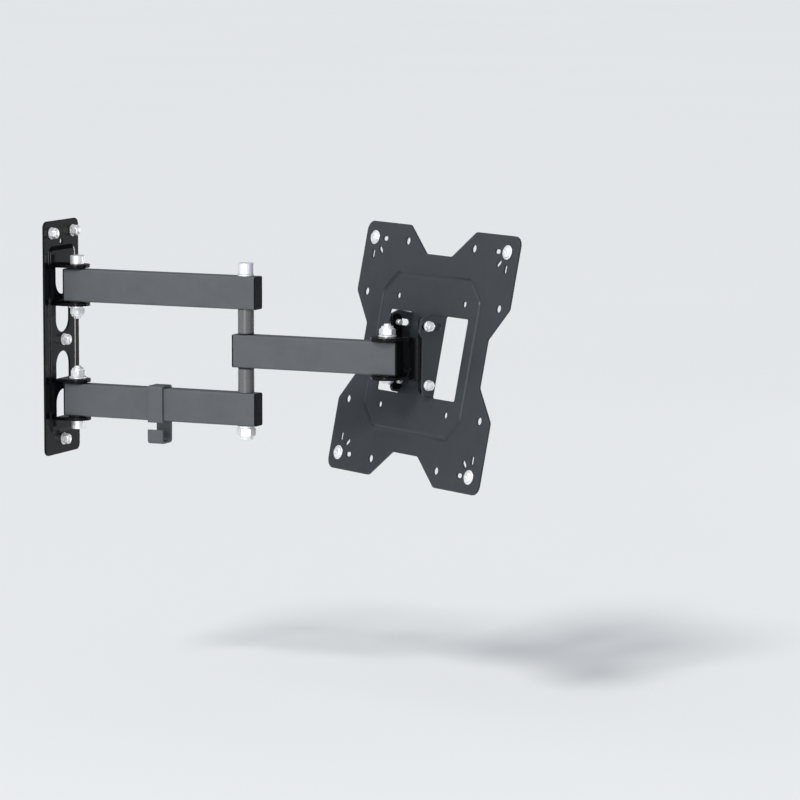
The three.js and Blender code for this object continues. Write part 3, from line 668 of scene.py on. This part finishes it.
def clip_outline():
    """The strip seen along the arm: around the tube, then down into an open hook."""
    near, under = TUBE_WIDE / 2 + TOUCH, TUBE_TALL / 2 + TOUCH
    far, top = near + CLIP["thick"], under + CLIP["thick"]
    foot, hem = -TUBE_TALL / 2 - CLIP["drop"], -TUBE_TALL / 2 - CLIP["hem"]
    lip = foot + CLIP["lip"]
    return rounded([
        (-far, hem, 0.9), (-near, hem, 0.9), (-near, under, 1.2), (near, under, 1.2),
        (near, foot + CLIP["thick"], 1.6), (-near, foot + CLIP["thick"], 1.6), (-near, lip, 0.9),
        (-far, lip, 0.9), (-far, foot, 3.4), (far, foot, 3.4), (far, top, 3.0), (-far, top, 3.0),
    ])


def build_rear_arms():
    body = "rear_arms"
    ends = (("shoulder", REAR_OVER_WALL), ("elbow", REAR_OVER_ELBOW))
    build_arm(body, "upper_arm", REAR_LEVEL, REAR_SPAN, *ends)
    build_arm(body, "lower_arm", -REAR_LEVEL, REAR_SPAN, *ends)
    half = CLIP["wide"] / 2
    clip = sheet("xz", clip_outline(), -half, half, (), THICK_EDGE)
    place = Matrix.Translation((0, -CLIP["along"], -REAR_LEVEL))
    show("cable_clip_strip", moved(clip, place), body, "arm_paint", ["cable_clip"])
    above, below = TUBE_TALL / 2 + TOUCH, -TUBE_TALL / 2 - TOUCH - NYLON_THICK
    for name, level in (("upper", REAR_LEVEL), ("lower", -REAR_LEVEL)):
        for label, z in (("top", above), ("lower", below)):
            node = f"{name}_arm_{label}_washer"
            disc = washer(NYLON_RADIUS, M8["bore"], level + z, NYLON_THICK)
            show(f"{node}_fine", disc, body, "nylon", [node])
    outer = REAR_LEVEL + TUBE_TALL / 2 + TOUCH
    seat = outer + STEEL_THICK + TOUCH
    inner = REAR_LEVEL - TUBE_TALL / 2 - TOUCH
    bottom = TUBE_TALL / 2 + NYLON_THICK + 2 * TOUCH
    elbow = Matrix.Translation((0, -REAR_SPAN, 0))
    bore, flat = M10["bore"], STEEL_RADIUS - 0.3
    turned_nut = moved(lock_nut(M10), lift(-seat) @ Matrix.Rotation(NUT_TURN, 4, "Z") @ UPSIDE_DOWN)
    stack = {
        "elbow_bolt_washer": (washer(flat, bore, outer, STEEL_THICK), "zinc"),
        "elbow_bolt": (moved(cap_bolt(M10, 2 * seat + M10["nut"]), lift(seat)), "zinc"),
        "elbow_nut_washer": (washer(flat, bore, -outer - STEEL_THICK, STEEL_THICK), "zinc"),
        "elbow_nut": (turned_nut, "zinc"),
        "upper_elbow_spacer": (washer(SPACER_RADIUS, bore, bottom, inner - bottom), "spacer"),
        "lower_elbow_spacer": (washer(SPACER_RADIUS, bore, -inner, inner - bottom), "spacer"),
    }
    for node, (mesh, finish) in stack.items():
        show(f"{node}_fine", moved(mesh, elbow), body, finish, [node])


def build_front_arm():
    body = "front_arm"
    ends = (("elbow", FRONT_OVER_ELBOW), ("head", FRONT_OVER_HEAD))
    build_arm(body, "front_arm", 0, FRONT_SPAN, *ends)
    level = TUBE_TALL / 2 + TOUCH
    for node, z in (("elbow_top_washer", level), ("elbow_lower_washer", -level - NYLON_THICK)):
        disc = washer(NYLON_RADIUS, M10["bore"], z, NYLON_THICK)
        show(f"{node}_fine", disc, body, "nylon", [node])


# ---------- swivel head ----------


def bracket_tab(low, high):
    """One of the two tongues that hold the end of the front arm."""
    half, back = BRACKET["tab_half"], -BRACKET["near"] - BRACKET["web"] + 0.5
    outline = [(-half, back), (half, back)] + arc(0, 0, half, 0, math.pi)
    return sheet("xy", outline, low, high, [circle(0, 0, M8["bore"])], THICK_EDGE)


def bracket():
    """The web with its two wings, the tabs above and below the arm and the lower tab's ribs."""
    b = BRACKET
    half, wing, back = b["half"], b["wing"], -b["near"] - b["web"]
    high = b["level"] + b["tab"]
    channel = rounded([
        (-half, -b["near"], b["bend"]), (-half, -b["end"] + 3, 0), (-half + wing, -b["end"] + 3, 0),
        (-half + wing, back, 1.5), (half - wing, back, 1.5), (half - wing, -b["end"] + 3, 0),
        (half, -b["end"] + 3, 0), (half, -b["near"], b["bend"]),
    ])
    parts = [sheet("xy", channel, -high, high, (), THICK_EDGE)]
    wing_outline = rounded([
        (-b["end"], b["low"], 5.5), (-b["start"], b["low"], 3), (-b["start"], -high, 0),
        (-b["near"] - b["bend"], -high + 0.6, 0), (-b["near"] - b["bend"], high - 0.6, 0),
        (-b["start"], high, 0), (-b["start"], b["top"], 3), (-b["end"], b["top"], 5.5),
    ])
    holes = [circle(-TILT_OUT, TILT_Z + step, M5["shank"] + TOUCH) for step in (0, TILT_SPACING)]
    for x in (-half, half - wing):
        parts.append(sheet("yz", wing_outline, x, x + wing, holes, THICK_EDGE))
    parts += [bracket_tab(b["level"], high), bracket_tab(-high, -b["level"])]
    rib = rounded([
        (-b["near"] - 1, -b["level"] - 1, 0), (-b["near"] - 1, -b["level"] + 7.6, 0),
        (-b["near"] + 0.4, -b["level"] + 7.2, 0.6), (-10, -b["level"] - 0.2, 0.6),
        (-10, -b["level"] - 1, 0),
    ])
    for x in (-b["tab_half"] + 0.2, b["tab_half"] - 2.2):
        parts.append(sheet("yz", rib, x, x + 2, (), HOLE_EDGE))
    return merged(parts)


def build_head():
    body = "swivel_head"
    b = BRACKET
    show("swivel_bracket_pressing", bracket(), body, "wall_paint", ["swivel_bracket"])
    outer = b["level"] + b["tab"] + TOUCH
    seat = outer + STEEL_THICK + TOUCH
    level, thick = TUBE_TALL / 2 + TOUCH, b["level"] - TUBE_TALL / 2 - 2 * TOUCH
    bore = M8["bore"]
    stack = {
        "swivel_bolt": (moved(button_bolt(outer + seat + SWIVEL_BOLT_REACH), lift(-outer)), "zinc"),
        "swivel_nut_washer": (washer(STEEL_RADIUS, bore, outer, STEEL_THICK), "zinc"),
        "swivel_nut": (moved(lock_nut(M8), lift(seat) @ Matrix.Rotation(NUT_TURN, 4, "Z")), "zinc"),
        "swivel_top_washer": (washer(NYLON_RADIUS, bore, level, thick), "nylon"),
        "swivel_lower_washer": (washer(NYLON_RADIUS, bore, -level - thick, thick), "nylon"),
    }
    for node, (mesh, finish) in stack.items():
        show(f"{node}_fine", mesh, body, finish, [node])
    ear = b["half"] + EAR["gap"] + EAR["thick"] + TOUCH
    inside = b["half"] - b["wing"] - TILT_BOLT_REACH
    for row, z in (("lower", TILT_Z), ("upper", TILT_Z + TILT_SPACING)):
        for hand, turn in (("left", -90), ("right", 90)):
            turned_out = Matrix.Rotation(math.radians(turn), 4, "Y")
            place = Matrix.Translation((0, -TILT_OUT, z)) @ turned_out
            screw = moved(hex_bolt(M5, ear - inside, TILT_FLANGE), place @ lift(ear))
            node = f"tilt_bolt_{row}_{hand}"
            show(f"{node}_fine", screw, body, "zinc", [node])


# ---------- screen plate ----------

QUARTERS = ((1, 1), (-1, 1), (-1, -1), (1, -1))


def around(quarter):
    """Corners of one quarter, (x, z, radius), repeated in the other three."""
    corners = []
    for sx, sz in QUARTERS:
        placed = [(sx * x, sz * z, radius) for x, z, radius in quarter]
        corners += placed[::-1] if sx * sz > 0 else placed
    return corners


def vesa_outline():
    v = VESA
    return rounded(around([
        (*v["top"], 5), (v["edge"], v["half"], 6), (v["half"], v["half"], v["corner"]),
        (v["half"], v["edge"], 6), (*v["side"], 5),
    ]))


def ray_slot(sx, sz, turn):
    """A short slot beside a corner hole that points away from it."""
    angle = math.radians(turn)
    heading = math.atan2(-sz * math.sin(angle), -sx * math.cos(angle))
    dx, dz = math.cos(heading), math.sin(heading)
    x, z = sx * 100 + RAY_REACH * dx, sz * 100 + RAY_REACH * dz
    half, reach = RAY_WIDTH / 2, (RAY_LENGTH - RAY_WIDTH) / 2
    quarter = math.pi / 2
    return arc(x + reach * dx, z + reach * dz, half, heading - quarter, math.pi) + arc(
        x - reach * dx, z - reach * dz, half, heading + quarter, math.pi
    )


def groove_outline():
    side, top, cut = GROOVE["side"], GROOVE["top"], GROOVE["chamfer"]
    return rounded(around([(side - cut, top, 8), (side, top - cut, 8)]))


def vesa_sheet():
    """The plate as one skin: outline, holes, slots, windows and the groove pressed in its back."""
    skin = Skin("xz")
    back = -VESA["back"]
    front = back - VESA["thick"]
    up = lambda loop: [(x, z + VESA["centre"]) for x, z in loop]
    inner_x, outer_x, tall = VESA["window"]
    inside = [rectangle(s * inner_x, s * outer_x, -tall, tall, 2) for s in (-1, 1)]
    outside = []
    for sx, sz in QUARTERS:
        for x, z, radius in VESA_HOLES:
            hole = circle(sx * x, sz * z, radius, 32)
            (inside if (x, z) == (50, 50) else outside).append(hole)
        outside += [ray_slot(sx, sz, turn) for turn in (0, 45, 90)]
    wall = lambda loop: skin.edge_rings(loop, front, back, THIN_EDGE)
    outline = wound(up(vesa_outline()), True)
    near = [wound(up(loop), False) for loop in inside]
    far = [wound(up(loop), False) for loop in outside]
    rim = wall(outline)
    near_walls = [wall(loop) for loop in near]
    far_walls = [wall(loop) for loop in far]
    for rings in [rim, *near_walls, *far_walls]:
        skin.band(rings)
    rim_end = inset(outline, THIN_EDGE)
    near_ends = [inset(loop, THIN_EDGE) for loop in near]
    far_ends = [inset(loop, THIN_EDGE) for loop in far]
    skin.face(
        [rings[0] for rings in [rim, *near_walls, *far_walls]], [rim_end, *near_ends, *far_ends]
    )
    line = wound(up(groove_outline()), True)
    steps = [k / 5 for k in range(-5, 6)]
    dip = [(t * GROOVE["half"], GROOVE["depth"] * (1 - t * t) ** 2) for t in steps]
    groove = [skin.ring(inset(line, move), back - depth) for move, depth in dip]
    skin.band(groove)
    outer_line, inner_line = inset(line, dip[0][0]), inset(line, dip[-1][0])
    skin.face(
        [rim[-1], groove[0], *[rings[-1] for rings in far_walls]],
        [rim_end, outer_line, *far_ends],
    )
    skin.face([groove[-1], *[rings[-1] for rings in near_walls]], [inner_line, *near_ends])
    return skin.done()


def ear_outline():
    """An ear from its root in the plate: low at the bottom, and tall at the tilt slot."""
    back, centre = -VESA["back"], VESA["centre"]
    wide, narrow, root = back + EAR["tall"], back + EAR["low"], back - 1.2
    low, high = centre - VESA["window"][2] + 0.5, centre + VESA["window"][2] - 0.5
    return rounded([
        (root, high, 0), (root, low, 0), (narrow - 3, low, 4), (narrow, low + 7.5, 3),
        (narrow + 8, centre + 13, 4), (wide, centre + 18, 4), (wide, centre + 31, 5),
        (wide - 9, high, 5),
    ])


def ear_slot():
    """The slot for the upper tilt bolts, curved about the tilt axis."""
    low, high = (math.pi / 2 - math.radians(EAR[key]) for key in ("to", "from"))
    half = EAR["slot"]
    at = lambda a: (TILT_SPACING * math.cos(a), TILT_SPACING * math.sin(a))
    return (
        arc(0, 0, TILT_SPACING + half, low, high - low)[1:-1]
        + arc(*at(high), half, high, math.pi)
        + arc(0, 0, TILT_SPACING - half, high, low - high)[1:-1]
        + arc(*at(low), half, low + math.pi, math.pi)
    )


def build_plate():
    body = "screen_plate"
    parts = [vesa_sheet()]
    start = BRACKET["half"] + EAR["gap"]
    holes = [ear_slot(), circle(0, 0, M5["shank"] + BORE_PLAY)]
    for x in (-start - EAR["thick"], start):
        parts.append(sheet("yz", ear_outline(), x, x + EAR["thick"], holes, THIN_EDGE))
    show("screen_plate_pressing", merged(parts), body, "plate_paint", ["vesa_plate"])
    backwards = Matrix.Rotation(-math.pi / 2, 4, "X")
    for row, sz in (("top", 1), ("bottom", -1)):
        for hand, sx in (("left", 1), ("right", -1)):
            spot = (sx * 100, -VESA["back"] + TOUCH, VESA["centre"] + sz * 100)
            screw = moved(pan_screw(), Matrix.Translation(spot) @ backwards)
            node = f"screen_screw_{row}_{hand}"
            show(f"{node}_fine", screw, body, "zinc", [node])


# ---------- the CAD nodes that stay ----------


def finish_cad_nodes():
    """Gives every CAD node its finish. Only the bushes inside the arms aren't replaced."""
    for entry in frame["record"]["subparts"]:
        piece = frame["nodes"][entry["node"]]
        piece.data.materials.clear()
        piece.data.materials.append(FINISH[entry["material_slot"]])


# ---------- stage, light and camera ----------

FLOOR, FLOOR_REACH = -0.32, 60
LENS = 180.8
CAMERA_PLACE = (-3.2372, -1.8076, 0.4008)
CAMERA_VIEW = (0.90445, 0.40867, -0.12229)
CAMERA_ROLL = math.radians(0.095)


def build_floor():
    """A large pale floor, far enough below the mount that its shadow is soft."""
    data = bpy.data.meshes.new("floor")
    far = FLOOR_REACH
    corners = [(x, y, FLOOR) for x, y in ((-far, -far), (far, -far), (far, far), (-far, far))]
    data.from_pydata(corners, [], [(0, 1, 2, 3)])
    nodes = Nodes("pale_floor")
    nodes.tone(nodes.noise(0.8), (0.87, 0.875, 0.88), (0.89, 0.895, 0.9))
    nodes.shader.inputs["Roughness"].default_value = 0.9
    nodes.shader.inputs["Specular IOR Level"].default_value = 0.1
    data.materials.append(nodes.material)
    floor = bpy.data.objects.new("floor", data)
    bpy.context.scene.collection.objects.link(floor)


def aim(item, place, target):
    item.location = place
    item.rotation_mode = "QUATERNION"
    item.rotation_quaternion = (Vector(target) - Vector(place)).to_track_quat("-Z", "Y")


def sun(name, power, angle, place):
    data = bpy.data.lights.new(name, "SUN")
    data.energy = power
    data.angle = math.radians(angle)
    item = bpy.data.objects.new(name, data)
    bpy.context.scene.collection.objects.link(item)
    aim(item, place, (0, 0, 0))


def softbox(name, power, size, place, target, gloss_only=False):
    """A rectangular light that the camera doesn't see, and that only glosses if asked to."""
    data = bpy.data.lights.new(name, "AREA")
    data.shape = "RECTANGLE"
    data.size, data.size_y = size
    data.energy = power
    item = bpy.data.objects.new(name, data)
    item.visible_camera = False
    item.visible_diffuse = not gloss_only
    bpy.context.scene.collection.objects.link(item)
    aim(item, place, target)


def build_light():
    world = bpy.data.worlds.new("studio")
    bpy.context.scene.world = world
    world.use_nodes = True
    tree = world.node_tree
    background = tree.nodes["Background"]
    background.inputs["Color"].default_value = (0.93, 0.96, 1.0, 1)
    # The studio is bright behind the camera and overhead, and dim on the side that faces the wall.
    where = tree.nodes.new("ShaderNodeTexCoord")
    side = tree.nodes.new("ShaderNodeVectorMath")
    side.operation = "DOT_PRODUCT"
    side.inputs[1].default_value = Vector((-0.8, 0.35, 0.5)).normalized()
    level = tree.nodes.new("ShaderNodeMapRange")
    level.inputs["From Min"].default_value = -0.6
    level.inputs["From Max"].default_value = 0.9
    level.inputs["To Min"].default_value = 0.08
    level.inputs["To Max"].default_value = 0.9
    tree.links.new(where.outputs["Generated"], side.inputs[0])
    tree.links.new(side.outputs["Value"], level.inputs["Value"])
    tree.links.new(level.outputs["Result"], background.inputs["Strength"])
    sun("key", 1.6, 14, (-2.6, 0.3, 2.4))
    softbox("camera_box", 30, (0.7, 1.2), (-3.6, -0.6, 0.3), (0, -0.2, 0))
    # Two low strips that only gloss edges and slopes pick up.
    softbox("front_strip", 6, (0.4, 0.6), (1.4, -2.0, 0.0), (0, 0, 0), True)
    softbox("rim_strip", 3, (0.3, 0.6), (2.4, -0.2, 0.0), (0, 0, 0), True)


def build_camera():
    """A long lens, low and to the left of the mount, looking along the photographed direction."""
    data = bpy.data.cameras.new("camera")
    data.sensor_width = 36
    data.lens = LENS
    data.clip_start, data.clip_end = 0.05, 200
    camera = bpy.data.objects.new("camera", data)
    bpy.context.scene.collection.objects.link(camera)
    camera.location = CAMERA_PLACE
    camera.rotation_mode = "QUATERNION"
    level = Vector(CAMERA_VIEW).to_track_quat("-Z", "Y")
    camera.rotation_quaternion = level @ Quaternion((0, 0, 1), CAMERA_ROLL)
    bpy.context.scene.camera = camera


build_wall()
build_rear_arms()
build_front_arm()
build_head()
build_plate()
finish_cad_nodes()
build_floor()
build_light()
build_camera()
bpy.context.scene.view_settings.view_transform = "Standard"
